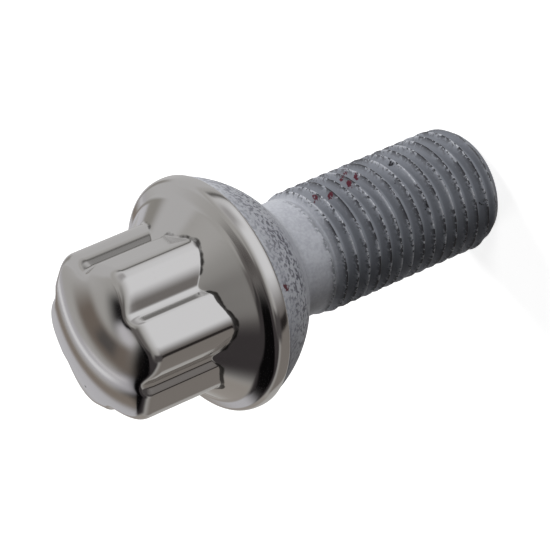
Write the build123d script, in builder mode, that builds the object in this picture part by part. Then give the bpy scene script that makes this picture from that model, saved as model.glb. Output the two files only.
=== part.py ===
"""Wheel bolt with a ball seat and a drawn sheet cap over its hexagon head.

The bolt stands on the end of its thread: the origin is the middle of that end face, +Z runs
up the axis to the head, and two corners of the hexagon lie on the X axis. Two pieces are made:
the forged bolt body, and the thin cap that is pressed over its head and crimped behind the collar.
The thread is a plain cylinder of the thread's outer diameter here.
"""

import os
from math import radians, sqrt, tan

from build123d import *

# Driving dimensions in millimetres, heights measured along the axis

# Shank: thread with its chamfered end, then a smooth neck
thread_d = 13.85
thread_length = 24.0
thread_runout = 1.8
tip_flat_d = 11.8
tip_chamfer_height = 1.7
neck_d = 12.9
neck_length = 3.2
neck_fillet_r = 1.2

# Ball seat between the neck and the cap
seat_ball_r = 13.5
seat_height = 7.45

# Cap rim, which stands out past the seat, wraps the collar and turns in behind it
rim_overhang = 0.24
rim_height = 1.8
rim_edge_r = 0.8
lip_width = 1.1

# Valley inside the rim, and the cone that climbs from it to the hexagon
rim_width = 1.6
valley_rise = 0.45
valley_r = 0.9
cone_angle = 47.0

# Fluted hexagon with a rounded, slightly domed end
cap_height = 16.5
hex_sides = 6
hex_across_flats = 17.0
hex_corner_r = 2.7
hex_base_fillet_r = 0.7
end_dome_r = 24.0
end_edge_r = 1.2
flute_width = 2.0
flute_depth = 0.85
flute_bend_r = 2.9
flute_bend_drop = 3.3
flute_bend_angle = 80.0

# Sheet of the cap, its fit on the body, and the end of the forged hexagon inside it
cap_sheet = 0.5
cap_clearance = 0.05
core_end_gap = 0.8
core_chamfer_angle = 45.0

# Radii and heights that follow from those
thread_r = thread_d / 2
tip_flat_r = tip_flat_d / 2
neck_r = neck_d / 2
shank_length = thread_length + neck_length
seat_centre_z = shank_length + sqrt(seat_ball_r**2 - neck_r**2)
seat_top_z = shank_length + seat_height
seat_top_r = sqrt(seat_ball_r**2 - (seat_centre_z - seat_top_z) ** 2)

rim_r = seat_top_r + rim_overhang
lip_r = rim_r - lip_width
groove_r = lip_r - cap_clearance
valley_edge_r = rim_r - rim_width
hex_apothem = hex_across_flats / 2
flute_r = ((flute_width / 2) ** 2 + flute_depth**2) / (2 * flute_depth)
flute_axis_r = hex_apothem - flute_depth + flute_r
cone_top_r = hex_apothem - 2 * flute_depth

cap_z = seat_top_z + cap_clearance
cap_top_z = cap_z + cap_height
rim_top_z = cap_z + rim_height
valley_z = rim_top_z + valley_rise
flute_bend_z = cap_top_z - flute_bend_drop
cone_top_z = valley_z + (valley_edge_r - cone_top_r) * tan(radians(cone_angle))

# The forged hexagon fits between the floors of the flutes
core_inset = cap_sheet + cap_clearance
core_apothem = hex_apothem - flute_depth - core_inset
core_corner_r = hex_corner_r - core_inset
core_top_z = cap_top_z - cap_sheet - core_end_gap
collar_z = cap_z + core_inset
core_height = core_top_z - collar_z
core_slope = tan(radians(core_chamfer_angle))
core_top_r = core_apothem - (core_top_z - flute_bend_z) / core_slope
core_foot_r = core_top_r + core_height / core_slope


def flange_form(inset):
    """Return rim, valley and cone as a turned solid, its faces moved inwards by inset.

    Only the outside has rounded edges.
    """
    with BuildPart() as flange:
        with BuildSketch(Plane.XZ) as profile:
            with BuildLine():
                Polyline(
                    (-rim_r, cap_z),
                    (rim_r, cap_z),
                    (rim_r, rim_top_z),
                    (valley_edge_r, valley_z),
                    (cone_top_r, cone_top_z),
                    (-rim_r, cone_top_z),
                    close=True,
                )
            make_face()
            if inset > 0:
                offset(amount=-inset, kind=Kind.INTERSECTION, mode=Mode.REPLACE)
            else:
                corners = profile.vertices().sort_by(Axis.X)
                valley_corner = corners[-3]
                fillet(corners[-2:], rim_edge_r)
                fillet(valley_corner, valley_r)
            with Locations((rim_r, cap_z)):
                Rectangle(2 * rim_r, 2 * cap_height, mode=Mode.INTERSECT)
        revolve(axis=Axis.Z)
    return flange.part


def flute_rods(inset):
    """Return the rods that cut a flute down the middle of each flat.

    Each rod bends inwards at the top, so that the flute fades out on the rounded end of the head.
    """
    with BuildPart() as rods:
        with BuildLine(Plane.XZ) as path:
            upright = Line((flute_axis_r, valley_z), (flute_axis_r, flute_bend_z))
            JernArc(upright @ 1, upright % 1, flute_bend_r + flute_r, flute_bend_angle)
        with BuildSketch(Plane.XY.offset(valley_z)):
            with Locations((flute_axis_r, 0)):
                Circle(flute_r + inset)
        rod = sweep(path=path.line, mode=Mode.PRIVATE)
        with PolarLocations(0, hex_sides, start_angle=180 / hex_sides):
            add(rod)
    return rods.part


def hexagon_form(inset):
    """Return the hexagon with its domed, rounded end, its faces moved inwards by inset."""
    with BuildPart() as form:
        with BuildSketch(Plane.XY.offset(cap_z + inset)) as hexagon:
            RegularPolygon(hex_apothem - inset, hex_sides, major_radius=False)
            fillet(hexagon.vertices(), hex_corner_r - inset)
        extrude(amount=cap_height)
        with Locations((0, 0, cap_top_z - end_dome_r)):
            Sphere(end_dome_r - inset, mode=Mode.INTERSECT)
        end_face = form.faces().sort_by(Axis.Z)[-1]
        fillet(end_face.edges(), end_edge_r - inset)
    return form.part


# Cap: one sheet drawn over the head, its lip turned in behind the collar
outer_flange = flange_form(0)
outer_hexagon = hexagon_form(0)
outer_rods = flute_rods(0)
inner_flange = flange_form(cap_sheet)
inner_hexagon = hexagon_form(cap_sheet)
inner_rods = flute_rods(cap_sheet)

with BuildPart() as outer_flutes:
    add(outer_rods)
    add(outer_flange, mode=Mode.SUBTRACT)

with BuildPart() as cap_inside:
    add(inner_hexagon)
    add(inner_rods, mode=Mode.SUBTRACT)
    add(inner_flange)

with BuildPart() as head_cap:
    add(outer_hexagon)
    add(outer_flange)
    cone = head_cap.faces().filter_by(GeomType.CONE).sort_by(SortBy.AREA)[-1]
    turned_types = (GeomType.CIRCLE, GeomType.LINE)
    base_edges = cone.edges().filter_by(lambda edge: edge.geom_type not in turned_types)
    fillet(base_edges, hex_base_fillet_r)
    add(outer_flutes.part, mode=Mode.SUBTRACT)
    add(cap_inside.part, mode=Mode.SUBTRACT)
    with BuildSketch(Plane.XY.offset(cap_z)):
        Circle(lip_r)
    extrude(amount=2 * cap_sheet, mode=Mode.SUBTRACT)

# Body: the forged hexagon with its turned chamfer, the collar and cone, then the turned shank,
# which has the thread, the neck, the ball seat and the groove for the cap's lip in one profile
with BuildPart() as bolt_body:
    with BuildSketch(Plane.XY.offset(collar_z)) as core_hexagon:
        RegularPolygon(core_apothem, hex_sides, major_radius=False)
        fillet(core_hexagon.vertices(), core_corner_r)
    extrude(amount=core_height)
    with Locations((0, 0, (collar_z + core_top_z) / 2)):
        Cone(core_foot_r, core_top_r, core_height, mode=Mode.INTERSECT)
    add(flange_form(core_inset))
    with BuildSketch(Plane.XZ) as shank:
        with BuildLine():
            Polyline(
                (0, 0),
                (tip_flat_r, 0),
                (thread_r, tip_chamfer_height),
                (thread_r, thread_length - thread_runout),
                (neck_r, thread_length),
                (neck_r, shank_length),
            )
            RadiusArc((neck_r, shank_length), (seat_top_r, seat_top_z), -seat_ball_r)
            Polyline(
                (seat_top_r, seat_top_z),
                (groove_r, seat_top_z),
                (groove_r, collar_z),
                (0, collar_z),
                (0, 0),
            )
        make_face()
        neck_corner = shank.vertices().sort_by_distance((neck_r, shank_length))[0]
        fillet(neck_corner, neck_fillet_r)
    revolve(axis=Axis.Z)

os.makedirs("parts", exist_ok=True)
for node, piece in (("bolt_body", bolt_body), ("head_cap", head_cap)):
    piece.part.label = node
    export_step(piece.part, f"parts/{node}.step")
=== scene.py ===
"""Dress the wheel bolt: a rolled, zinc-flaked body and a polished sheet cap over its head.

The bolt stands on the end of its thread, with +Z up its axis to the head. Sizes of its pieces and
finishes are millimetres, and a piece's mesh is brought to metres before it is made an object. Sizes of
the tent and the studio round it are metres. Angles round the axis are degrees from +X towards +Y.
"""

import logging
from bisect import bisect_left
from dataclasses import dataclass, field
from enum import Enum
from math import atan2, cos, degrees, exp, hypot, pi, radians, sin, sqrt, tan

import bmesh
import bpy
from mathutils import Matrix, Vector, noise


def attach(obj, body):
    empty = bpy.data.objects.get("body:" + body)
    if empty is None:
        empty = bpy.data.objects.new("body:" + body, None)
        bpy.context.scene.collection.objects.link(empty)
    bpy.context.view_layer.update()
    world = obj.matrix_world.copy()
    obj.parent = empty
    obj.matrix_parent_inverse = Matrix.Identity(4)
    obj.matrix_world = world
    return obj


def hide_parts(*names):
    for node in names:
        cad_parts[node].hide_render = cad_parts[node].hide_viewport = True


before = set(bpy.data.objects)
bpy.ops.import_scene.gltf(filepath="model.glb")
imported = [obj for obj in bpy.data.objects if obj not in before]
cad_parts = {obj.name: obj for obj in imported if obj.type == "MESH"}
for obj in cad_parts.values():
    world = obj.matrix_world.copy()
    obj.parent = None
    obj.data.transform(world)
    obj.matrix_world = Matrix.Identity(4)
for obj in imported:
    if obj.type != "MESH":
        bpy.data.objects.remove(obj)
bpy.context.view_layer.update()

log = logging.getLogger("wheel_bolt")

MM = 0.001
FULL_TURN = 2 * pi
MERGE_MM = 1e-4
AXIS = (0, 0, 1)

# Side of the bolt that faces the camera
FRONT_ANGLE = 266.0

# Short names of types
Tree = bpy.types.NodeTree
Socket = bpy.types.NodeSocket
Profile = list[tuple[float, float]]


def linear_rgba(hex_colour: str) -> tuple[float, float, float, float]:
    """Turn an sRGB hex colour into Blender's linear RGBA.

    Args:
        hex_colour: six hex digits, such as "8A8F98".

    Returns:
        Linear red, green and blue, and an alpha of 1.
    """
    channels = [int(hex_colour[i : i + 2], 16) / 255 for i in (0, 2, 4)]
    linear = [c / 12.92 if c <= 0.04045 else ((c + 0.055) / 1.055) ** 2.4 for c in channels]
    return (*linear, 1.0)


def add_node(
    tree: Tree,
    kind: str,
    inputs: dict[str | int, object] | None = None,
    **settings: object,
) -> bpy.types.Node:
    """Add one shader node with its settings, values and links.

    Args:
        tree: the node tree that it joins.
        kind: the node's type name.
        inputs: by input name or number, a socket to link from or a value to set.
        settings: the node's own properties.

    Returns:
        The new node.
    """
    node = tree.nodes.new(kind)
    for name, value in settings.items():
        setattr(node, name, value)
    for key, value in (inputs or {}).items():
        if isinstance(value, Socket):
            tree.links.new(value, node.inputs[key])
        else:
            node.inputs[key].default_value = value
    return node


def new_material(name: str) -> tuple[bpy.types.Material, Tree]:
    """Make an empty node material.

    Args:
        name: the finish's name.

    Returns:
        The material and its cleared node tree.
    """
    material = bpy.data.materials.new(name)
    material.use_nodes = True
    material.node_tree.nodes.clear()
    return material, material.node_tree


def smooth_max(a: float, b: float, width: float) -> float:
    """Return the larger of two values, blended over a width where they are close."""
    near = max(width - abs(a - b), 0.0) / width
    return max(a, b) + near * near * width / 4


def smooth_step(low: float, high: float, value: float) -> float:
    """Return 0 below low, 1 above high, and an eased value between them."""
    t = min(max((value - low) / (high - low), 0.0), 1.0)
    return t * t * (3 - 2 * t)


def arc(centre: tuple[float, float], r: float, start: float, end: float, steps: int) -> Profile:
    """List the points of an arc in a profile of radius and height.

    Args:
        centre: the arc's centre.
        r: the arc's radius.
        start: angle of the first point, in degrees from outwards to upwards.
        end: angle of the last point.
        steps: number of stretches between points.

    Returns:
        The points, both ends among them.
    """
    angles = [radians(start + (end - start) * i / steps) for i in range(steps + 1)]
    return [(centre[0] + r * cos(a), centre[1] + r * sin(a)) for a in angles]


def mark_place(r: float, angle: float, z: float) -> tuple[float, float, float]:
    """Return a mark's place in metres from its radius, angle in degrees and height in millimetres."""
    turn = radians(angle)
    return (r * cos(turn) * MM, r * sin(turn) * MM, z * MM)


def verts_of(geom: list) -> list[bmesh.types.BMVert]:
    """Return the vertices among the elements that an operator made."""
    return [item for item in geom if isinstance(item, bmesh.types.BMVert)]


def make_object(bm: bmesh.types.BMesh, name: str, material: bpy.types.Material) -> bpy.types.Object:
    """Make an object of a mesh.

    Args:
        bm: the mesh, which is freed.
        name: the object's name.
        material: its finish.

    Returns:
        The new object, at the origin.
    """
    mesh = bpy.data.meshes.new(name)
    bm.to_mesh(mesh)
    bm.free()
    mesh.materials.append(material)
    made = bpy.data.objects.new(name, mesh)
    bpy.context.scene.collection.objects.link(made)
    return made


def finish_piece(bm: bmesh.types.BMesh, name: str, material: bpy.types.Material) -> bpy.types.Object:
    """Close a mesh in millimetres and make it a smooth piece in metres.

    Args:
        bm: the mesh, which is freed.
        name: the piece's name.
        material: its finish.

    Returns:
        The new object, at the origin.
    """
    bmesh.ops.remove_doubles(bm, verts=bm.verts, dist=MERGE_MM)
    bmesh.ops.dissolve_degenerate(bm, edges=bm.edges, dist=MERGE_MM)
    bmesh.ops.recalc_face_normals(bm, faces=bm.faces)
    bmesh.ops.scale(bm, verts=bm.verts, vec=(MM, MM, MM))
    for face in bm.faces:
        face.smooth = True
    return make_object(bm, name, material)


@dataclass(frozen=True)
class Fleck:
    """One mark on the body: height, angle from its front, half its width, and distance from the axis."""

    z: float
    angle: float
    half_width: float
    r: float = 6.6


@dataclass(frozen=True)
class Grain:
    """Noise in a finish: the size of its grains in millimetres, and how many finer layers it has."""

    size_mm: float
    detail: float

    def scale(self) -> float:
        """Return the grains per metre, which is a noise's scale."""
        return 1 / (self.size_mm * MM)


@dataclass(frozen=True)
class Fade:
    """Two values that a pattern fades between: none at the first, full at the second."""

    none_at: float
    full_at: float


@dataclass(frozen=True)
class ZincFlakeSteel:
    """Zinc flake coating on forged steel: dip-spun, baked and matte.

    The flakes give a soft blue-grey with a slight metal sheen, and shade is painted darker in the
    thread's grooves. Where bolts knock together in the drum, crests are chipped to dark specks and
    rubbed to bright ones, and the seat is scuffed. A few flecks of dark red paint and black specks lie
    on the coat.
    """

    name: str = "zinc_flake_on_forged_steel"
    coat: str = "A9ABB1"
    coat_dark: str = "9A9CA3"
    # Painted shade in the thread's grooves
    groove_shade_tone: str = "7A7D84"
    chip_dark: str = "1B1B1F"
    chip_bright: str = "BFC2C7"
    scuff: str = "50505A"
    paint: str = "4E202B"
    metallic: float = 0.25
    roughness: float = 0.52
    bump_strength: float = 0.2
    bump_mm: float = 0.02

    # Grains of the patterns; the real flakes are too fine to show, so they are drawn this coarse
    flake_grain: Grain = Grain(0.3, 3.0)
    cloud_grain: Grain = Grain(3.0, 2.0)
    scuff_grain: Grain = Grain(0.45, 6.0)
    chip_grain: Grain = Grain(0.36, 4.0)
    rub_grain: Grain = Grain(0.252, 4.0)
    ragged_grain: Grain = Grain(0.36, 3.0)

    # Levels of noise at which each pattern shows, and how clouds and crests steer the chips
    clouded: Fade = Fade(0.75, 1.25)
    scuffed: Fade = Fade(0.46, 0.6)
    rubbed: Fade = Fade(0.54, 0.64)
    chipped: Fade = Fade(0.91, 0.98)
    cloud_wear: float = 0.9
    chip_reach: float = 0.45
    rub_shift: tuple[float, float, float] = (11.0, 7.0, 5.0)

    # Heights between which the seat is scuffed, most at the middle one
    seat_low_z: float = 28.8
    seat_scuff_z: float = 31.0
    seat_clear_z: float = 36.6

    # Flecks, placed from the front of the bolt
    front: float = FRONT_ANGLE
    fleck_edge: Fade = Fade(1.0, 0.7)
    fleck_shake_mm: float = 1.2
    paint_marks: tuple[Fleck, ...] = (
        Fleck(15.1, 52, 0.38),
        Fleck(16.7, 47, 0.5),
        Fleck(16.5, 57, 0.36),
        Fleck(19.7, 42, 0.42),
        Fleck(21.5, 47, 0.5),
        Fleck(15.4, 68, 0.4),
        Fleck(33.9, -12, 0.45, 12.47),
    )
    dark_marks: tuple[Fleck, ...] = (
        Fleck(3.0, -25, 0.4),
        Fleck(10.0, -6, 0.4),
        Fleck(12.4, 27, 0.38),
        Fleck(10.6, 50, 0.38),
    )

    def add_grains(self, tree: Tree, place: Socket) -> dict[str, Socket]:
        """Add the noises that the coat's patterns are made of.

        Args:
            tree: the node tree.
            place: the place on the piece.

        Returns:
            The socket of each noise, by its name.
        """
        shift = tuple(way * MM for way in self.rub_shift)
        shifted = add_node(tree, "ShaderNodeVectorMath", {0: place, 1: shift}, operation="ADD")
        sockets = {}
        for name, where, grain in (
            ("flakes", place, self.flake_grain),
            ("clouds", place, self.cloud_grain),
            ("scuffs", place, self.scuff_grain),
            ("chips", place, self.chip_grain),
            ("rubs", shifted.outputs[0], self.rub_grain),
        ):
            node = add_node(
                tree,
                "ShaderNodeTexNoise",
                {"Vector": where, "Scale": grain.scale(), "Detail": grain.detail},
            )
            sockets[name] = node.outputs[0]
        return sockets

    def add_patterns(self, tree: Tree, height: Socket, grains: dict[str, Socket]) -> dict[str, Socket]:
        """Add the patterns that fade in where a noise or the height passes a level.

        Args:
            tree: the node tree.
            height: the height on the piece.
            grains: the coat's noises.

        Returns:
            The socket of each pattern, by its name.
        """
        clouds = grains["clouds"]
        tone = add_node(tree, "ShaderNodeMath", {0: grains["flakes"], 1: clouds}, operation="ADD")
        worn = add_node(
            tree,
            "ShaderNodeMath",
            {0: clouds, 1: self.cloud_wear, 2: grains["chips"]},
            operation="MULTIPLY_ADD",
        )
        sockets = {}
        for name, value, fade in (
            ("clouded", tone.outputs[0], self.clouded),
            ("scuffed", grains["scuffs"], self.scuffed),
            ("rubbed", grains["rubs"], self.rubbed),
            ("chipped", worn.outputs[0], self.chipped),
            ("seat_below", height, Fade(self.seat_low_z * MM, self.seat_scuff_z * MM)),
            ("seat_above", height, Fade(self.seat_clear_z * MM, self.seat_scuff_z * MM)),
        ):
            node = add_node(
                tree,
                "ShaderNodeMapRange",
                {"Value": value, "From Min": fade.none_at, "From Max": fade.full_at},
                interpolation_type="SMOOTHSTEP",
            )
            sockets[name] = node.outputs[0]
        return sockets

    def add_ragged_place(self, tree: Tree, place: Socket) -> Socket:
        """Add the nodes that shake the place by noise, so that a round mark has a ragged edge.

        Args:
            tree: the node tree.
            place: the place on the piece.

        Returns:
            The socket of the shaken place.
        """
        shake = self.fleck_shake_mm * MM
        grain = self.ragged_grain
        noisy = add_node(
            tree,
            "ShaderNodeTexNoise",
            {"Vector": place, "Scale": grain.scale(), "Detail": grain.detail},
        )
        moved = add_node(
            tree,
            "ShaderNodeVectorMath",
            {0: noisy.outputs["Color"], 1: (shake, shake, shake), 2: place},
            operation="MULTIPLY_ADD",
        )
        centred = add_node(
            tree,
            "ShaderNodeVectorMath",
            {0: moved.outputs[0], 1: (shake / 2, shake / 2, shake / 2)},
            operation="SUBTRACT",
        )
        return centred.outputs[0]

    def add_flecks(self, tree: Tree, ragged: Socket, flecks: tuple[Fleck, ...]) -> Socket:
        """Add the nodes that mark flecks.

        Args:
            tree: the node tree.
            ragged: the place, shaken by noise.
            flecks: the marks.

        Returns:
            A socket that is 1 on the flecks.
        """
        covered: Socket | float = 0.0
        for fleck in flecks:
            spot = mark_place(fleck.r, self.front + fleck.angle, fleck.z)
            away = add_node(tree, "ShaderNodeVectorMath", {0: ragged, 1: spot}, operation="DISTANCE")
            half_width = fleck.half_width * MM
            near = add_node(
                tree,
                "ShaderNodeMapRange",
                {
                    "Value": away.outputs["Value"],
                    "From Min": self.fleck_edge.none_at * half_width,
                    "From Max": self.fleck_edge.full_at * half_width,
                },
                interpolation_type="SMOOTHSTEP",
            )
            both = add_node(tree, "ShaderNodeMath", {0: covered, 1: near.outputs[0]}, operation="MAXIMUM")
            covered = both.outputs[0]
        return covered

    def add_colour(self, tree: Tree, place: Socket, grains: dict[str, Socket]) -> Socket:
        """Add the nodes that lay the marks over the coat, the coat's own tones first.

        Args:
            tree: the node tree.
            place: the place on the piece.
            grains: the coat's noises.

        Returns:
            The colour's socket.
        """
        height = add_node(tree, "ShaderNodeSeparateXYZ", {0: place}).outputs["Z"]
        crest = add_node(tree, "ShaderNodeAttribute", attribute_name="crest").outputs["Fac"]
        groove_shade = add_node(tree, "ShaderNodeAttribute", attribute_name="groove_shade").outputs["Fac"]
        patterns = self.add_patterns(tree, height, grains)
        wide = add_node(tree, "ShaderNodeMath", {0: crest, 1: self.chip_reach}, operation="POWER")
        seat = add_node(
            tree,
            "ShaderNodeMath",
            {0: patterns["seat_below"], 1: patterns["seat_above"]},
            operation="MULTIPLY",
        )
        shares = {}
        for name, where in (
            ("scuffed", seat.outputs[0]),
            ("rubbed", crest),
            ("chipped", wide.outputs[0]),
        ):
            kept = add_node(tree, "ShaderNodeMath", {0: patterns[name], 1: where}, operation="MULTIPLY")
            shares[name] = kept.outputs[0]
        ragged = self.add_ragged_place(tree, place)
        # Tones laid over the coat in turn; the grooves' tone is painted shade
        colour = linear_rgba(self.coat)
        for tone, share in (
            (self.coat_dark, patterns["clouded"]),
            (self.groove_shade_tone, groove_shade),
            (self.scuff, shares["scuffed"]),
            (self.chip_bright, shares["rubbed"]),
            (self.chip_dark, shares["chipped"]),
            (self.paint, self.add_flecks(tree, ragged, self.paint_marks)),
            (self.chip_dark, self.add_flecks(tree, ragged, self.dark_marks)),
        ):
            mixed = add_node(
                tree,
                "ShaderNodeMix",
                {"Factor": share, "A": colour, "B": linear_rgba(tone)},
                data_type="RGBA",
            )
            colour = mixed.outputs["Result"]
        return colour

    def material(self) -> bpy.types.Material:
        """Make the coating.

        Returns:
            The node material.
        """
        material, tree = new_material(self.name)
        place = add_node(tree, "ShaderNodeTexCoord").outputs["Object"]
        grains = self.add_grains(tree, place)
        bump = add_node(
            tree,
            "ShaderNodeBump",
            {"Height": grains["flakes"], "Strength": self.bump_strength, "Distance": self.bump_mm * MM},
        )
        shader = add_node(
            tree,
            "ShaderNodeBsdfPrincipled",
            {
                "Base Color": self.add_colour(tree, place, grains),
                "Metallic": self.metallic,
                "Roughness": self.roughness,
                "Normal": bump.outputs[0],
            },
        )
        add_node(tree, "ShaderNodeOutputMaterial", {"Surface": shader.outputs[0]})
        return material


@dataclass(frozen=True)
class PolishedStainless:
    """Stainless sheet, deep drawn and tumble polished: a warm grey mirror, a little soft.

    Shade is painted in dark patches in the crease at the foot of the hexagon, most of it on one side,
    and one small dark speck sits on the end.
    """

    name: str = "polished_drawn_stainless"
    metal: str = "D0CFCE"
    # Dark, rougher tone painted into the crease at the hexagon's foot as shade, stronger on one side
    crease_shade: str = "24211F"
    speck: str = "141414"
    roughness: float = 0.1
    crease_shade_roughness: float = 0.4
    crease_shade_share: float = 0.9
    crease_shade_grain: Grain = Grain(1.4, 3.0)
    crease_shade_noise: Fade = Fade(0.3, 0.7)
    light_crease_shade: float = -0.5
    heavy_crease_shade: float = 0.25
    crease_shade_level: Fade = Fade(0.2, 0.8)
    shaded_side: float = 236.0
    shaded_side_facing: Fade = Fade(0.1, 0.75)
    far_side_crease_shade: float = 0.55
    speck_place: tuple[float, float, float] = (6.7, 121.0, 50.3)
    speck_r: float = 0.14
    speck_edge: Fade = Fade(1.3, 0.8)

    def add_crease_shade(self, tree: Tree, place: Socket) -> Socket:
        """Add the nodes that paint shade along the crease.

        Args:
            tree: the node tree.
            place: the place on the piece.

        Returns:
            The socket of the paste's share.
        """
        crease = add_node(tree, "ShaderNodeAttribute", attribute_name="crease")
        grain = self.crease_shade_grain
        patches = add_node(
            tree,
            "ShaderNodeTexNoise",
            {"Vector": place, "Scale": grain.scale(), "Detail": grain.detail},
        )
        uneven = add_node(
            tree,
            "ShaderNodeMapRange",
            {
                "Value": patches.outputs[0],
                "From Min": self.crease_shade_noise.none_at,
                "From Max": self.crease_shade_noise.full_at,
                "To Min": self.light_crease_shade,
                "To Max": self.heavy_crease_shade,
            },
        )
        level = add_node(tree, "ShaderNodeVectorMath", {0: place, 1: (1, 1, 0)}, operation="MULTIPLY")
        outwards = add_node(tree, "ShaderNodeVectorMath", {0: level.outputs[0]}, operation="NORMALIZE")
        side = radians(self.shaded_side)
        facing = add_node(
            tree,
            "ShaderNodeVectorMath",
            {0: outwards.outputs[0], 1: (cos(side), sin(side), 0)},
            operation="DOT_PRODUCT",
        )
        strength = add_node(
            tree,
            "ShaderNodeMapRange",
            {
                "Value": facing.outputs["Value"],
                "From Min": self.shaded_side_facing.none_at,
                "From Max": self.shaded_side_facing.full_at,
                "To Min": self.far_side_crease_shade,
            },
            interpolation_type="SMOOTHSTEP",
        )
        laid = add_node(
            tree,
            "ShaderNodeMath",
            {0: crease.outputs["Fac"], 1: strength.outputs[0], 2: uneven.outputs[0]},
            operation="MULTIPLY_ADD",
        )
        crease_shade = add_node(
            tree,
            "ShaderNodeMapRange",
            {
                "Value": laid.outputs[0],
                "From Min": self.crease_shade_level.none_at,
                "From Max": self.crease_shade_level.full_at,
                "To Max": self.crease_shade_share,
            },
            interpolation_type="SMOOTHSTEP",
        )
        return crease_shade.outputs[0]

    def add_speck(self, tree: Tree, place: Socket) -> Socket:
        """Add the nodes that mark the speck on the end.

        Args:
            tree: the node tree.
            place: the place on the piece.

        Returns:
            A socket that is 1 on the speck.
        """
        spot = mark_place(*self.speck_place)
        away = add_node(tree, "ShaderNodeVectorMath", {0: place, 1: spot}, operation="DISTANCE")
        near = add_node(
            tree,
            "ShaderNodeMapRange",
            {
                "Value": away.outputs["Value"],
                "From Min": self.speck_edge.none_at * self.speck_r * MM,
                "From Max": self.speck_edge.full_at * self.speck_r * MM,
            },
        )
        return near.outputs[0]

    def material(self) -> bpy.types.Material:
        """Make the polished sheet.

        Returns:
            The node material.
        """
        material, tree = new_material(self.name)
        place = add_node(tree, "ShaderNodeTexCoord").outputs["Object"]
        # Painted shade in the crease at the hexagon's foot
        crease_shade = self.add_crease_shade(tree, place)
        colour = linear_rgba(self.metal)
        for tone, share in ((self.crease_shade, crease_shade), (self.speck, self.add_speck(tree, place))):
            mixed = add_node(
                tree,
                "ShaderNodeMix",
                {"Factor": share, "A": colour, "B": linear_rgba(tone)},
                data_type="RGBA",
            )
            colour = mixed.outputs["Result"]
        gloss = add_node(
            tree,
            "ShaderNodeMapRange",
            {"Value": crease_shade, "To Min": self.roughness, "To Max": self.crease_shade_roughness},
        )
        shader = add_node(
            tree,
            "ShaderNodeBsdfPrincipled",
            {"Base Color": colour, "Metallic": 1.0, "Roughness": gloss.outputs[0]},
        )
        add_node(tree, "ShaderNodeOutputMaterial", {"Surface": shader.outputs[0]})
        return material


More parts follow.
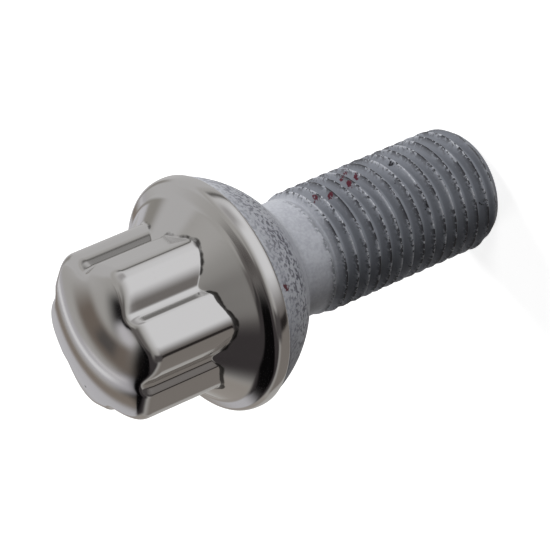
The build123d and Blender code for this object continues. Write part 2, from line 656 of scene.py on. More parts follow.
@dataclass
class BoltBody:
    """Forged body: rolled thread, neck, ball seat, and the collar and hexagon inside the cap."""

    finish: ZincFlakeSteel = field(default_factory=ZincFlakeSteel)

    # Thread, with the places of its profile as shares of half a pitch
    crest_r: float = 6.92
    root_r: float = 6.0
    pitch: float = 1.522
    flank_angle: float = 30.0
    crest_flat: float = 0.16
    edge_blend: float = 0.1
    profile_shares: tuple[float, ...] = (
        0.0, 0.06, 0.12, 0.18, 0.26, 0.4, 0.55, 0.68, 0.78, 0.86, 0.93, 1.0,
    )
    crest_angle: float = FRONT_ANGLE
    crest_z: float = 2.5
    turns: int = 21
    turns_below: int = 4
    steps_per_turn: int = 160
    crest_nicks: float = 0.05
    nick_mm: float = 0.55

    # Wear's reach in crest flats, how far a crest loses the grooves' painted shade, and where that
    # painted shade fades
    crest_reach: float = 0.9
    crest_shade_loss: float = 0.6
    shade_start_z: float = 20.5

    # Chamfered end, runout and neck
    tip_flat_r: float = 5.9
    tip_chamfer_height: float = 1.7
    tip_edge: float = 0.3
    tip_steps: int = 5
    runout_start_z: float = 22.3
    runout_end_z: float = 24.5
    neck_r: float = 6.45
    neck_rows: tuple[float, ...] = (0.5, 1.2)
    neck_fillet_r: float = 1.2
    fillet_steps: int = 8

    # Ball seat
    seat_ball_r: float = 13.5
    seat_centre_z: float = 39.06
    seat_top_z: float = 34.65
    seat_steps: int = 24

    # Groove for the cap's lip, collar, cone and hexagon, all inside the cap
    groove_r: float = 11.85
    collar_r: float = 12.45
    collar_z: float = 35.25
    collar_top_z: float = 36.1
    cone_foot_r: float = 10.95
    cone_foot_z: float = 36.6
    cone_top_r: float = 7.2
    cone_top_z: float = 40.6
    core_apothem: float = 7.1
    core_shoulder_z: float = 47.9
    core_top_z: float = 49.9

    def thread_r(self, offset: float) -> float:
        """Work out the thread's profile.

        Args:
            offset: axial distance from the middle of a crest.

        Returns:
            The thread's radius there.
        """
        slope = 1 / tan(radians(self.flank_angle))
        flank = self.crest_r - (abs(offset) - self.crest_flat / 2) * slope
        floor = smooth_max(flank, self.root_r, self.edge_blend)
        return -smooth_max(-floor, -self.crest_r, self.edge_blend)

    def thread_offsets(self) -> list[float]:
        """List the profile's places along one pitch, close together at crest and root.

        Returns:
            Axial distances from the middle of a crest, from one root to the next.
        """
        half = self.pitch / 2
        rising = [-half * share for share in reversed(self.profile_shares[1:])]
        return rising + [half * share for share in self.profile_shares]

    def wind_thread(self, bm: bmesh.types.BMesh, crest: bmesh.types.BMLayerItem) -> None:
        """Wind one pitch of the thread's profile once round the axis, and stack copies of that turn.

        Args:
            bm: the mesh that it is added to.
            crest: vertex layer that is 1 on a crest.
        """
        start = radians(self.crest_angle)
        start_z = self.crest_z - self.turns_below * self.pitch
        profile = []
        for offset in self.thread_offsets():
            r = self.thread_r(offset)
            vert = bm.verts.new((r * cos(start), r * sin(start), start_z + offset))
            vert[crest] = exp(-((offset / (self.crest_reach * self.crest_flat)) ** 2))
            profile.append(vert)
        edges = [bm.edges.new(pair) for pair in zip(profile, profile[1:])]
        bmesh.ops.spin(
            bm,
            geom=profile + edges,
            axis=AXIS,
            dvec=(0, 0, self.pitch / self.steps_per_turn),
            angle=FULL_TURN,
            steps=self.steps_per_turn,
        )
        one_turn = bm.verts[:] + bm.edges[:] + bm.faces[:]
        for turn in range(1, self.turns):
            copied = bmesh.ops.duplicate(bm, geom=one_turn)["geom"]
            bmesh.ops.translate(bm, verts=verts_of(copied), vec=(0, 0, self.pitch * turn))
        bmesh.ops.remove_doubles(bm, verts=bm.verts, dist=MERGE_MM)

    def shape_thread(self, vert: bmesh.types.BMVert, crest: bmesh.types.BMLayerItem) -> None:
        """Fade the thread into the neck, chamfer its end and nick its crest.

        Args:
            vert: the vertex to move.
            crest: vertex layer that is 1 on a crest.
        """
        r = vert.co.xy.length
        kept = 1 - smooth_step(self.runout_start_z, self.runout_end_z, vert.co.z)
        vert[crest] *= kept
        nick = noise.noise(vert.co / self.nick_mm) * vert[crest] * self.crest_nicks
        shaped = self.neck_r + (r - self.neck_r + nick) * kept
        chamfer_slope = (self.crest_r - self.tip_flat_r) / self.tip_chamfer_height
        chamfer = self.tip_flat_r + max(vert.co.z, 0.0) * chamfer_slope
        shaped = min(shaped, chamfer)
        vert.co.xy *= shaped / r

    def add_thread(self, bm: bmesh.types.BMesh) -> None:
        """Wind the thread up the shank, shape it, and trim it at both ends.

        Args:
            bm: the mesh that it is added to.
        """
        crest = bm.verts.layers.float.new("crest")
        # Share of painted shade in the grooves, less on crests and none up the runout
        groove_shade = bm.verts.layers.float.new("groove_shade")
        self.wind_thread(bm, crest)
        for vert in bm.verts:
            self.shape_thread(vert, crest)
            kept = 1 - smooth_step(self.shade_start_z, self.runout_end_z, vert.co.z)
            vert[groove_shade] = kept * (1 - self.crest_shade_loss * vert[crest])
        for height, direction in ((self.tip_edge, -1), (self.runout_end_z, 1)):
            bmesh.ops.bisect_plane(
                bm,
                geom=bm.verts[:] + bm.edges[:] + bm.faces[:],
                plane_co=(0, 0, height),
                plane_no=(0, 0, direction),
                clear_outer=True,
            )

    def neck_and_seat(self) -> Profile:
        """List the profile from the end of the thread to the edge of the seat.

        Returns:
            Radius and height of each point.
        """
        fillet_r = self.neck_r + self.neck_fillet_r
        reach = self.seat_ball_r + self.neck_fillet_r
        fillet_z = self.seat_centre_z - sqrt(reach**2 - fillet_r**2)
        meet = degrees(atan2(fillet_z - self.seat_centre_z, fillet_r))
        seat_drop = self.seat_centre_z - self.seat_top_z
        seat_top = -degrees(atan2(seat_drop, sqrt(self.seat_ball_r**2 - seat_drop**2)))
        neck = [(self.neck_r, self.runout_end_z + row) for row in self.neck_rows]
        fillet = arc((fillet_r, fillet_z), self.neck_fillet_r, 180, 180 + meet, self.fillet_steps)
        seat = arc((0, self.seat_centre_z), self.seat_ball_r, meet, seat_top, self.seat_steps)
        return neck + fillet + seat[1:]

    def collar_and_core(self) -> Profile:
        """List the profile inside the cap, from the groove for its lip to the hexagon's end.

        Returns:
            Radius and height of each point.
        """
        shoulder = self.core_top_z - self.core_shoulder_z
        return [
            (self.groove_r, self.seat_top_z),
            (self.groove_r, self.collar_z),
            (self.collar_r, self.collar_z),
            (self.collar_r, self.collar_top_z),
            (self.cone_foot_r, self.cone_foot_z),
            (self.cone_top_r, self.cone_top_z),
            (self.core_apothem, self.core_shoulder_z),
            (self.core_apothem - shoulder, self.core_top_z),
        ]

    def extrude_rings(
        self, bm: bmesh.types.BMesh, loop: list[bmesh.types.BMEdge], rings: Profile
    ) -> None:
        """Carry an open loop of edges through a row of rings, and close the last one.

        Args:
            bm: the mesh.
            loop: the loop's edges.
            rings: radius and height of each ring.
        """
        for r, z in rings:
            made = bmesh.ops.extrude_edge_only(bm, edges=loop)["geom"]
            for vert in verts_of(made):
                vert.co.xy *= r / vert.co.xy.length
                vert.co.z = z
            edges = (item for item in made if isinstance(item, bmesh.types.BMEdge))
            loop = [edge for edge in edges if edge.is_boundary]
        bmesh.ops.contextual_create(bm, geom=loop)

    def build(self) -> bpy.types.Object:
        """Build the body as one closed piece.

        Returns:
            The piece.
        """
        bm = bmesh.new()
        self.add_thread(bm)
        open_edges = [edge for edge in bm.edges if edge.is_boundary]
        bottom = [e for e in open_edges if e.verts[0].co.z < self.tip_edge + MERGE_MM]
        top = [e for e in open_edges if e.verts[0].co.z > self.runout_end_z - MERGE_MM]
        tip_centre = (self.tip_flat_r - self.tip_edge, self.tip_edge)
        tip = arc(tip_centre, self.tip_edge, 0, -90, self.tip_steps)
        self.extrude_rings(bm, bottom, tip[1:])
        self.extrude_rings(bm, top, self.neck_and_seat() + self.collar_and_core())
        return finish_piece(bm, "forged_bolt", self.finish.material())


@dataclass(frozen=True)
class CapColumn:
    """One column of the cap's mesh.

    Held are its angle, the radius of its wall with and without a flute, and its share of the depth.
    """

    angle: float
    wall: float
    plain: float
    flute: float


@dataclass(frozen=True)
class FluteSide:
    """One side of a flute: the lean of its wall, and the round that leads into it from the flat."""

    wall_angle: float
    shoulder_r: float


class FlatHalf(Enum):
    """Half of a flat beside its flute, by the way that it lies round the axis."""

    AHEAD = 1
    BEHIND = -1


@dataclass
class HeadCap:
    """Drawn sheet cap: domed hexagon with a flute down each flat, cone, valley and crimped rim."""

    finish: PolishedStainless = field(default_factory=PolishedStainless)
    base_z: float = 34.70
    top_z: float = 51.20
    sheet: float = 0.5

    # Hexagon with its domed end
    sides: int = 6
    apothem: float = 8.5
    corner_r: float = 2.7
    dome_r: float = 24.0
    end_edge_r: float = 1.6

    # Flutes, which lie a little off the middle of a flat and fade over the end edge
    flute_depth: float = 0.75
    flute_floor_r: float = 0.8
    flute_offset: float = 0.4
    easy_side: FluteSide = FluteSide(wall_angle=24.0, shoulder_r=4.5)
    steep_side: FluteSide = FluteSide(wall_angle=38.0, shoulder_r=0.8)
    flute_fade_start: float = 0.2
    flute_fade_end: float = 2.6

    # Fillet at the hexagon's foot, small under a flute and large under a corner
    base_fillet_r: float = 0.55
    flute_base_fillet_r: float = 0.35
    corner_base_fillet_r: float = 1.0
    corner_reach: float = 9.0

    # Painted shade there: share of the fillet that it rises over, share on the cone, and depth of
    # unshaded flutes
    crease_shade_rise: float = 0.5
    crease_shade_below: float = 0.6
    unshaded_flute: Fade = Fade(0.35, 0.85)

    # Cone, valley and rim
    cone_angle: float = 47.0
    valley_edge_r: float = 11.4
    valley_z: float = 36.95
    valley_r: float = 1.8
    rim_r: float = 13.0
    rim_side_r: float = 3.0
    rim_crown_r: float = 0.95
    rim_foot_r: float = 0.3
    rim_land_angle: float = 22.0
    rim_crown_angle: float = 12.0
    rim_foot_angle: float = -6.0
    lip_r: float = 11.9

    # Hidden inside
    inner_rim_z: float = 36.0
    inner_wall_r: float = 7.15

    # Fineness of the mesh
    columns_per_side: int = 96
    arc_steps: int = 40
    dome_rows: int = 36
    edge_rows: int = 20
    fillet_rows: int = 10
    cone_rows: int = 16
    rim_rows: int = 10
    wall_rows: int = 20

    def flute_half_width(self, side: FluteSide) -> float:
        """Work out how wide a flute is on one side.

        Args:
            side: the side.

        Returns:
            Width from the middle of the flute's floor to the end of the side's shoulder.
        """
        lean = radians(side.wall_angle)
        round_r = side.shoulder_r + self.flute_floor_r
        slant = (self.flute_depth - round_r * (1 - cos(lean))) / sin(lean)
        return round_r * sin(lean) + slant * cos(lean)

    def half_outline(self, side: FluteSide, half: FlatHalf) -> Profile:
        """List half a flat's outline, from the middle of the flute's floor to the corner.

        Args:
            side: the flute's side that it holds.
            half: which half of the flat it is.

        Returns:
            Distance out of the axis, and along the flat, of each point.
        """
        offset = half.value * self.flute_offset
        lean = side.wall_angle
        floor_centre = (self.apothem - self.flute_depth + self.flute_floor_r, offset)
        floor = arc(floor_centre, self.flute_floor_r, 180, 180 - lean, self.arc_steps)
        shoulder_centre = (self.apothem - side.shoulder_r, offset + self.flute_half_width(side))
        shoulder = arc(shoulder_centre, side.shoulder_r, -lean, 0, self.arc_steps)
        half_side = 180 / self.sides
        corner_x = self.apothem - self.corner_r
        corner_centre = (corner_x, corner_x * tan(radians(half_side)))
        corner = arc(corner_centre, self.corner_r, 0, half_side, self.arc_steps)
        return [(x, half.value * y) for x, y in floor + shoulder + corner]

    def columns(self) -> list[CapColumn]:
        """Space columns evenly along one flat's outline.

        Returns:
            The columns, from corner to corner.
        """
        behind = self.half_outline(self.steep_side, FlatHalf.BEHIND)
        outline = behind[:0:-1] + self.half_outline(self.easy_side, FlatHalf.AHEAD)
        flute_start = self.flute_offset - self.flute_half_width(self.steep_side)
        flute_end = self.flute_offset + self.flute_half_width(self.easy_side)
        lengths = [0.0]
        for (x0, y0), (x1, y1) in zip(outline, outline[1:]):
            lengths.append(lengths[-1] + hypot(x1 - x0, y1 - y0))
        spaced = []
        for i in range(self.columns_per_side + 1):
            wanted = lengths[-1] * i / self.columns_per_side
            after = min(max(bisect_left(lengths, wanted), 1), len(outline) - 1)
            share = (wanted - lengths[after - 1]) / (lengths[after] - lengths[after - 1])
            x, y = (a + (b - a) * share for a, b in zip(outline[after - 1], outline[after]))
            wall = hypot(x, y)
            pressed = self.apothem - x if flute_start < y < flute_end else 0.0
            plain = self.apothem * wall / x if pressed else wall
            angle = pi / self.sides + atan2(y, x)
            spaced.append(CapColumn(angle, wall, plain, pressed / self.flute_depth))
        return spaced

    def end_points(self, column: CapColumn) -> Profile:
        """List the domed end, its rounded edge and the wall down to the fillet at its foot.

        A flute grows shallower over the rounded edge, and ends on the dome.

        Args:
            column: the column.

        Returns:
            Radius and height of each point.
        """
        dome_z = self.top_z - self.dome_r
        edge_centre_r = column.plain - self.end_edge_r
        reach = self.dome_r - self.end_edge_r
        edge_centre_z = dome_z + sqrt(reach**2 - edge_centre_r**2)
        meet = degrees(atan2(edge_centre_z - dome_z, edge_centre_r))
        dome = arc((0, dome_z), self.dome_r, 90, meet, self.dome_rows)
        edge = arc((edge_centre_r, edge_centre_z), self.end_edge_r, meet, 0, self.edge_rows)
        end = dome + edge[1:]
        pressed = [(column.wall, edge_centre_z)]
        length = 0.0
        for outer, inner in zip(end[::-1], end[-2::-1]):
            length += hypot(outer[0] - inner[0], outer[1] - inner[1])
            kept = 1 - smooth_step(self.flute_fade_start, self.flute_fade_end, length)
            pressed.append((inner[0] + (column.wall - column.plain) * kept, inner[1]))
        drop = self.fillet_centre(column)[1] - edge_centre_z
        rows = range(1, self.wall_rows)
        wall = [(column.wall, edge_centre_z + drop * row / self.wall_rows) for row in rows]
        return pressed[::-1] + wall

    def fillet_centre(self, column: CapColumn) -> tuple[float, float, float]:
        """Fit the fillet between a column's foot and the cone.

        Args:
            column: the column.

        Returns:
            Radius and height of the fillet's centre, and the fillet's own radius.
        """
        half_side = pi / self.sides
        from_corner = degrees(half_side - abs(column.angle - half_side))
        corner = 1 - smooth_step(0, self.corner_reach, from_corner)
        r = (
            self.base_fillet_r
            + (self.flute_base_fillet_r - self.base_fillet_r) * column.flute
            + (self.corner_base_fillet_r - self.base_fillet_r) * corner
        )
        slope = radians(self.cone_angle)
        cone_z = self.valley_z + (self.valley_edge_r - column.wall - r) * tan(slope)
        return column.wall + r, cone_z + r / cos(slope), r

    def foot_points(self, column: CapColumn) -> Profile:
        """List the fillet at the wall's foot and the cone down to the valley.

        Args:
            column: the column.

        Returns:
            Radius and height of each point.
        """
        centre_r, centre_z, r = self.fillet_centre(column)
        fillet = arc((centre_r, centre_z), r, 180, 270 - self.cone_angle, self.fillet_rows)
        low = Vector(self.valley_arc()[0])
        high = Vector(fillet[-1])
        cone = [tuple(high.lerp(low, row / self.cone_rows)) for row in range(1, self.cone_rows)]
        return fillet + cone

    def rim_arcs(self) -> Profile:
        """List the rim from its narrow land, over its round crown and side, to its foot.

        Returns:
            Radius and height of each point.
        """
        foot_lean = radians(self.rim_foot_angle)
        side_z = self.base_z + self.rim_foot_r - (self.rim_side_r - self.rim_foot_r) * sin(foot_lean)
        side_centre = Vector((self.rim_r - self.rim_side_r, side_z))
        stretches = (
            (self.rim_crown_r, self.rim_crown_angle, 90 - self.rim_land_angle, self.rim_crown_angle),
            (self.rim_side_r, self.rim_crown_angle, self.rim_crown_angle, self.rim_foot_angle),
            (self.rim_foot_r, self.rim_foot_angle, self.rim_foot_angle, -90),
        )
        points = []
        for r, joined_at, start, end in stretches:
            lean = radians(joined_at)
            away = (self.rim_side_r - r) * Vector((cos(lean), sin(lean)))
            points += arc(side_centre + away, r, start, end, self.rim_rows)
        return points

    def valley_arc(self) -> Profile:
        """List the round of the valley between the cone and the rim's land.

        Returns:
            Radius and height of each point.
        """
        land_r, land_z = self.rim_arcs()[0]
        cone_slope = tan(radians(self.cone_angle))
        land_slope = tan(radians(self.rim_land_angle))
        rise = self.valley_z + self.valley_edge_r * cone_slope - land_z - land_r * land_slope
        corner_r = rise / (cone_slope - land_slope)
        corner_z = land_z + (land_r - corner_r) * land_slope
        turn = radians(self.cone_angle - self.rim_land_angle)
        middle = radians((self.cone_angle + self.rim_land_angle) / 2)
        away = self.valley_r / cos(turn / 2)
        centre = (corner_r + away * sin(middle), corner_z + away * cos(middle))
        start = 270 - self.cone_angle
        return arc(centre, self.valley_r, start, 270 - self.rim_land_angle, self.rim_rows)

    def rim_points(self) -> Profile:
        """List the valley, the rounded rim and the lip turned in behind it."""
        lip = [(self.lip_r, self.base_z), (self.lip_r, self.base_z + self.sheet)]
        return self.valley_arc() + self.rim_arcs() + lip

    def inner_points(self, column: CapColumn) -> Profile:
        """List the hidden inside of the sheet, from the lip to the inner crown.

        Args:
            column: the column.

        Returns:
            Radius and height of each point.
        """
        inner_rim = self.rim_r - self.sheet
        slope = radians(self.cone_angle)
        drop = self.sheet / cos(slope)
        inner_foot = max(column.wall - self.sheet, self.inner_wall_r)
        foot_z = self.valley_z - drop + (self.valley_edge_r - inner_foot) * tan(slope)
        end_r = inner_foot - self.end_edge_r
        dome_z = self.top_z - self.dome_r
        inner_dome = self.dome_r - self.sheet
        return [
            (inner_rim, self.base_z + self.sheet),
            (inner_rim, self.inner_rim_z),
            (self.valley_edge_r, self.valley_z - drop),
            (inner_foot, foot_z),
            (inner_foot, self.top_z - 2 * self.end_edge_r - self.sheet),
            (end_r, dome_z + sqrt(inner_dome**2 - end_r**2)),
            (end_r / 2, dome_z + sqrt(inner_dome**2 - (end_r / 2) ** 2)),
            (0.0, dome_z + inner_dome),
        ]

    def section(self, column: CapColumn) -> Profile:
        """List the cap's profile at one column, from the outer crown to the inner crown."""
        outside = self.end_points(column) + self.foot_points(column) + self.rim_points()
        return outside + self.inner_points(column)

    def crease_shade_shares(self, column: CapColumn) -> list[float]:
        """List how much painted shade a section holds: it lies along the hexagon's foot, not in the
        flutes.

        Args:
            column: the section's column.

        Returns:
            A share for each of the section's points.
        """
        before = len(self.end_points(column))
        unshaded = smooth_step(self.unshaded_flute.none_at, self.unshaded_flute.full_at, column.flute)
        full_row = self.crease_shade_rise * self.fillet_rows
        fillet = [(1 - unshaded) * min(row / full_row, 1.0) for row in range(self.fillet_rows + 1)]
        shares = [0.0] * before + fillet + [self.crease_shade_below * (1 - unshaded)]
        return shares + [0.0] * (len(self.section(column)) - len(shares))

    def build(self) -> bpy.types.Object:
        """Build the cap: its section is spun over one side, pressed to shape and copied to all sides.

        Returns:
            The piece.
        """
        columns = self.columns()
        sections = [self.section(column) for column in columns]
        shares = [self.crease_shade_shares(column) for column in columns]
        side = FULL_TURN / self.sides
        bm = bmesh.new()
        station = bm.verts.layers.int.new("station")
        # Share of painted shade in the crease at the hexagon's foot
        crease = bm.verts.layers.float.new("crease")
        profile = []
        for number, (r, z) in enumerate(sections[0]):
            vert = bm.verts.new((max(r, MERGE_MM), 0, z))
            vert[station] = number
            profile.append(vert)
        edges = [bm.edges.new(pair) for pair in zip(profile, profile[1:])]
        bmesh.ops.spin(bm, geom=profile + edges, axis=AXIS, angle=side, steps=self.columns_per_side)
        for vert in bm.verts:
            number = round(atan2(vert.co.y, vert.co.x) / side * self.columns_per_side)
            r, z = sections[number][vert[station]]
            angle = columns[number].angle
            vert.co = (r * cos(angle), r * sin(angle), z)
            vert[crease] = shares[number][vert[station]]
        one_side = bm.verts[:] + bm.edges[:] + bm.faces[:]
        for number in range(1, self.sides):
            copied = bmesh.ops.duplicate(bm, geom=one_side)["geom"]
            turn = Matrix.Rotation(side * number, 3, "Z")
            bmesh.ops.rotate(bm, verts=verts_of(copied), cent=(0, 0, 0), matrix=turn)
        return finish_piece(bm, "sheet_cap", self.finish.material())


@dataclass(frozen=True)
class TentPanel:
    """One soft-edged cloth panel of the light tent, as seen from the head of the bolt.

    Azimuth is in degrees from the camera's side, counted anticlockwise from above.
    """

    azimuth: float
    elevation: float
    width: float
    height: float
    tone: str
    soft_width: float = 16.0
    soft_height: float = 16.0
    tilt: float = 0.0


@dataclass
class LightTent:
    """Cloth tent round the bolt, which only polished metal mirrors: white, grey and black panels."""

    radius: float = 0.3
    centre_z: float = 0.043
    segments: tuple[int, int] = (48, 24)
    facing: float = FRONT_ANGLE
    cloth: str = "B8B6B3"
    panels: tuple[TentPanel, ...] = (
        # Dim cloth overhead and above the camera
        TentPanel(0, 58, 90, 34, "A19F9C", 40, 30),
        TentPanel(0, 90, 400, 30, "6E6A68", 1, 14),
        TentPanel(-10, 68, 50, 30, "6E6A68", 30, 26),
        # Table level, which the upright flats mirror
        TentPanel(-88, -36, 68, 76, "89837E", 6, 30),
        TentPanel(-30, -36, 44, 76, "77726F", 6, 30),
        TentPanel(-51, -36, 13, 76, "2C2827", 6, 30),
        TentPanel(28, -42, 100, 120, "F3F3F5", 44, 74),
        TentPanel(56, 4, 26, 50, "B4B2B2", 18, 30),
        TentPanel(84, -34, 8, 60, "6A6866", 8, 26),
        TentPanel(126, -10, 60, 110, "CBCACA", 12, 30),
        TentPanel(146, -2, 30, 20, "9C9994", 16, 14),
        TentPanel(0, -70, 160, 50, "7E7A76", 80, 24),
        # Black cloth on the shaded side
        TentPanel(-76, 50, 74, 52, "6E6A68", 56, 34),
        TentPanel(-70, 70, 70, 30, "3E3B3B", 36, 16),
        TentPanel(-108, 46, 96, 62, "413D3E", 30, 18),
        TentPanel(-133, 53, 54, 48, "0C0B0C", 16, 12),
        TentPanel(-52, 12, 26, 50, "545050", 10, 14),
        TentPanel(-150, 0, 50, 30, "A6A09A", 14, 16),
        # Bands behind the bolt, which the domed end mirrors
        TentPanel(160, 74, 60, 20, "6A6664", 30, 12),
        TentPanel(166, 67, 30, 18, "1E1C1D", 14, 10),
        TentPanel(185, 63, 22, 8, "D6D4D8", 10, 6),
        TentPanel(181, 46, 44, 16, "7A7068", 14, 7, 24),
        TentPanel(182, 48, 14, 9, "5A5654", 8, 5, 24),
        TentPanel(182, 4, 70, 16, "CBCACE", 12, 8, 35),
        TentPanel(183, 16.5, 60, 6, "8C8279", 12, 4, 36),
        TentPanel(181, 26, 60, 8, "C2C0C5", 12, 4, 36),
        TentPanel(178, 23, 44, 2.6, "FAFAFC", 16, 1.2, 36),
        TentPanel(190, 36, 24, 1.6, "E4E2E4", 10, 1.2, 30),
    )

    def add_directions(self, tree: Tree) -> tuple[Socket, Socket]:
        """Add the nodes that read where a point of the tent is, as seen from the head.

        Args:
            tree: the tent's node tree.

        Returns:
            The sockets of azimuth and elevation, in degrees.
        """
        place = add_node(tree, "ShaderNodeTexCoord").outputs["Object"]
        turned = add_node(
            tree,
            "ShaderNodeVectorRotate",
            {"Vector": place, "Angle": -radians(self.facing)},
            rotation_type="Z_AXIS",
        )
        unit = add_node(tree, "ShaderNodeVectorMath", {0: turned.outputs[0]}, operation="NORMALIZE")
        parts = add_node(tree, "ShaderNodeSeparateXYZ", {0: unit.outputs[0]})
        azimuth = add_node(
            tree, "ShaderNodeMath", {0: parts.outputs["Y"], 1: parts.outputs["X"]}, operation="ARCTAN2"
        )
        elevation = add_node(tree, "ShaderNodeMath", {0: parts.outputs["Z"]}, operation="ARCSINE")
        return tuple(
            add_node(tree, "ShaderNodeMath", {0: node.outputs[0]}, operation="DEGREES").outputs[0]
            for node in (azimuth, elevation)
        )

    def hang_panel(
        self,
        tree: Tree,
        directions: tuple[Socket, Socket],
        cloth: Socket | tuple[float, ...],
        panel: TentPanel,
    ) -> Socket:
        """Lay one panel over the cloth so far.

        Args:
            tree: the tent's node tree.
            directions: sockets of azimuth and elevation.
            cloth: colour of what is behind, as a socket or a value.
            panel: the panel.

        Returns:
            The socket of the colour with the panel in place.
        """
        azimuth, elevation = directions
        across = add_node(tree, "ShaderNodeMath", {0: azimuth, 1: panel.azimuth}, operation="SUBTRACT")
        wrapped = add_node(
            tree, "ShaderNodeMath", {0: across.outputs[0], 1: 180.0, 2: -180.0}, operation="WRAP"
        )
        rise = add_node(tree, "ShaderNodeMath", {0: elevation, 1: panel.elevation}, operation="SUBTRACT")
        spot = add_node(tree, "ShaderNodeCombineXYZ", {"X": wrapped.outputs[0], "Y": rise.outputs[0]})
        level = add_node(
            tree,
            "ShaderNodeVectorRotate",
            {"Vector": spot.outputs[0], "Angle": -radians(panel.tilt)},
            rotation_type="Z_AXIS",
        )
        away = add_node(tree, "ShaderNodeVectorMath", {0: level.outputs[0]}, operation="ABSOLUTE")
        sides = add_node(tree, "ShaderNodeSeparateXYZ", {0: away.outputs[0]})
        covers = []
        for axis, size, soft in (
            ("X", panel.width, panel.soft_width),
            ("Y", panel.height, panel.soft_height),
        ):
            edge = add_node(
                tree,
                "ShaderNodeMapRange",
                {
                    "Value": sides.outputs[axis],
                    "From Min": (size + soft) / 2,
                    "From Max": (size - soft) / 2,
                },
                interpolation_type="SMOOTHSTEP",
            )
            covers.append(edge.outputs[0])
        share = add_node(tree, "ShaderNodeMath", {0: covers[0], 1: covers[1]}, operation="MULTIPLY")
        mixed = add_node(
            tree,
            "ShaderNodeMix",
            {"Factor": share.outputs[0], "A": cloth, "B": linear_rgba(panel.tone)},
            data_type="RGBA",
        )
        return mixed.outputs["Result"]

    def material(self) -> bpy.types.Material:
        """Make the tent's cloth, all panels in place.

        Returns:
            The glowing node material, which isn't sampled as a lamp.
        """
        material, tree = new_material("tent_cloth")
        directions = self.add_directions(tree)
        cloth = linear_rgba(self.cloth)
        for panel in self.panels:
            cloth = self.hang_panel(tree, directions, cloth, panel)
        glow = add_node(tree, "ShaderNodeEmission", {"Color": cloth})
        add_node(tree, "ShaderNodeOutputMaterial", {"Surface": glow.outputs[0]})
        material.cycles.emission_sampling = "NONE"
        return material

    def build(self) -> None:
        """Put up the tent round the bolt, seen in reflections alone."""
        bm = bmesh.new()
        around, upwards = self.segments
        bmesh.ops.create_uvsphere(bm, u_segments=around, v_segments=upwards, radius=self.radius)
        tent = make_object(bm, "light_tent", self.material())
        tent.location.z = self.centre_z
        tent.visible_camera = False
        tent.visible_diffuse = False
        tent.visible_transmission = False
        tent.visible_shadow = False


@dataclass(frozen=True)
class SoftLamp:
    """A square lamp: where it stands round the bolt in degrees, its distance and size, and its power."""

    name: str
    azimuth: float
    elevation: float
    distance: float
    size: float
    power: float


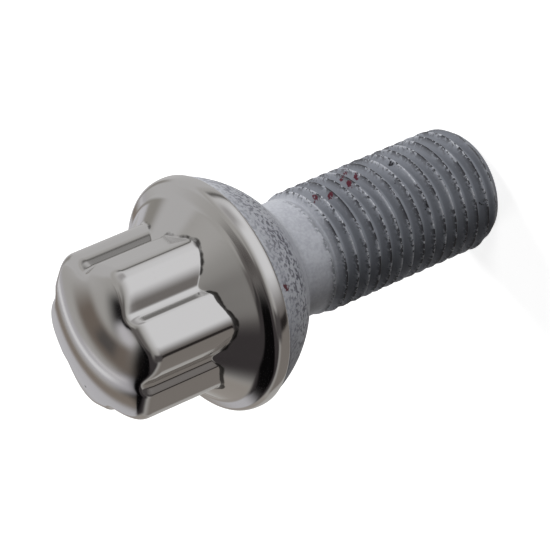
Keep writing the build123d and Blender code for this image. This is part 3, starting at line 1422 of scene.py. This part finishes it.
@dataclass
class Studio:
    """Floor, world, lamps, light tent and camera, in metres."""

    floor_size: float = 4.0
    floor_tone: str = "C4C4C4"
    floor_glow: float = 0.8
    room_light: float = 0.03
    lamp_aim_z: float = 0.025
    lamps: tuple[SoftLamp, ...] = (
        SoftLamp("key", 304, 6, 0.6, 0.24, 3.9),
        SoftLamp("fill", 16, 30, 0.7, 0.3, 5.0),
        SoftLamp("back", 105, 5, 0.7, 0.3, 5.0),
    )
    tent: LightTent = field(default_factory=LightTent)
    camera_aim: tuple[float, float, float] = (-0.00101, 0.0, 0.02695)
    camera_distance: float = 0.44072
    camera_azimuth: float = FRONT_ANGLE - 270
    camera_elevation: float = 32.0
    camera_roll: float = -113.37
    camera_near: float = 0.01
    lens: float = 272.57

    def add_camera(self) -> None:
        """Set the camera at the photograph's viewing angle."""
        data = bpy.data.cameras.new("camera")
        data.lens = self.lens
        data.clip_start = self.camera_near
        camera = bpy.data.objects.new("camera", data)
        turn = (
            Matrix.Rotation(radians(self.camera_azimuth), 4, "Z")
            @ Matrix.Rotation(pi / 2 - radians(self.camera_elevation), 4, "X")
            @ Matrix.Rotation(radians(self.camera_roll), 4, "Z")
        )
        back = turn.to_3x3() @ Vector((0, 0, self.camera_distance))
        camera.matrix_world = Matrix.Translation(Vector(self.camera_aim) + back) @ turn
        bpy.context.scene.collection.objects.link(camera)
        bpy.context.scene.camera = camera

    def add_seen(self, tree: Tree) -> Socket:
        """Add the nodes that tell which rays show the background: seen, mirrored or through glass.

        Args:
            tree: the node tree.

        Returns:
            A socket that is 1 for those rays.
        """
        path = add_node(tree, "ShaderNodeLightPath")
        seen = path.outputs["Is Camera Ray"]
        for other in ("Is Glossy Ray", "Is Transmission Ray"):
            inputs = {0: seen, 1: path.outputs[other]}
            seen = add_node(tree, "ShaderNodeMath", inputs, operation="MAXIMUM").outputs[0]
        return seen

    def add_floor(self) -> None:
        """Lay a pale floor under the bolt, which the lamps bring up to white outside its shadow."""
        bm = bmesh.new()
        bmesh.ops.create_grid(bm, x_segments=1, y_segments=1, size=self.floor_size / 2)
        material, tree = new_material("pale_floor")
        diffuse = add_node(tree, "ShaderNodeBsdfDiffuse", {"Color": linear_rgba(self.floor_tone)})
        shown = add_node(
            tree, "ShaderNodeMath", {0: self.add_seen(tree), 1: self.floor_glow}, operation="MULTIPLY"
        )
        glow = add_node(tree, "ShaderNodeEmission", {"Strength": shown.outputs[0]})
        total = add_node(tree, "ShaderNodeAddShader", {0: diffuse.outputs[0], 1: glow.outputs[0]})
        add_node(tree, "ShaderNodeOutputMaterial", {"Surface": total.outputs[0]})
        floor = make_object(bm, "floor", material)
        floor.visible_glossy = False

    def add_world(self) -> None:
        """Light the room softly from all round, and show it white."""
        world = bpy.data.worlds.new("room")
        world.use_nodes = True
        tree = world.node_tree
        tree.nodes.clear()
        white = linear_rgba("FFFFFF")
        room = add_node(tree, "ShaderNodeBackground", {"Color": white, "Strength": self.room_light})
        shown = add_node(tree, "ShaderNodeBackground", {"Color": white})
        mix = add_node(
            tree, "ShaderNodeMixShader", {0: self.add_seen(tree), 1: room.outputs[0], 2: shown.outputs[0]}
        )
        add_node(tree, "ShaderNodeOutputWorld", {"Surface": mix.outputs[0]})
        bpy.context.scene.world = world

    def add_lamp(self, lamp: SoftLamp) -> None:
        """Aim a soft square lamp at the bolt.

        Args:
            lamp: the lamp.
        """
        data = bpy.data.lights.new(lamp.name, "AREA")
        data.size = lamp.size
        data.energy = lamp.power
        light = bpy.data.objects.new(lamp.name, data)
        turn = radians(lamp.azimuth)
        rise = radians(lamp.elevation)
        back = Vector((cos(turn) * cos(rise), sin(turn) * cos(rise), sin(rise)))
        light.location = back * lamp.distance + Vector((0, 0, self.lamp_aim_z))
        light.rotation_euler = back.to_track_quat("Z", "Y").to_euler()
        light.visible_glossy = False
        bpy.context.scene.collection.objects.link(light)

    def build(self) -> None:
        """Set up everything around the bolt."""
        bpy.context.scene.view_settings.view_transform = "Standard"
        self.add_camera()
        self.add_floor()
        self.add_world()
        for lamp in self.lamps:
            self.add_lamp(lamp)
        self.tent.build()


def main() -> None:
    """Build the bolt's pieces and the studio round them."""
    logging.basicConfig(level=logging.INFO, format="%(name)s: %(message)s")
    body = BoltBody().build()
    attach(body, "root")
    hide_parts("bolt_body")
    cap = HeadCap().build()
    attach(cap, "root")
    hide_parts("head_cap")
    for piece in (body, cap):
        log.info("%s has %d faces", piece.name, len(piece.data.polygons))
    Studio().build()


if __name__ == "__main__":
    main()
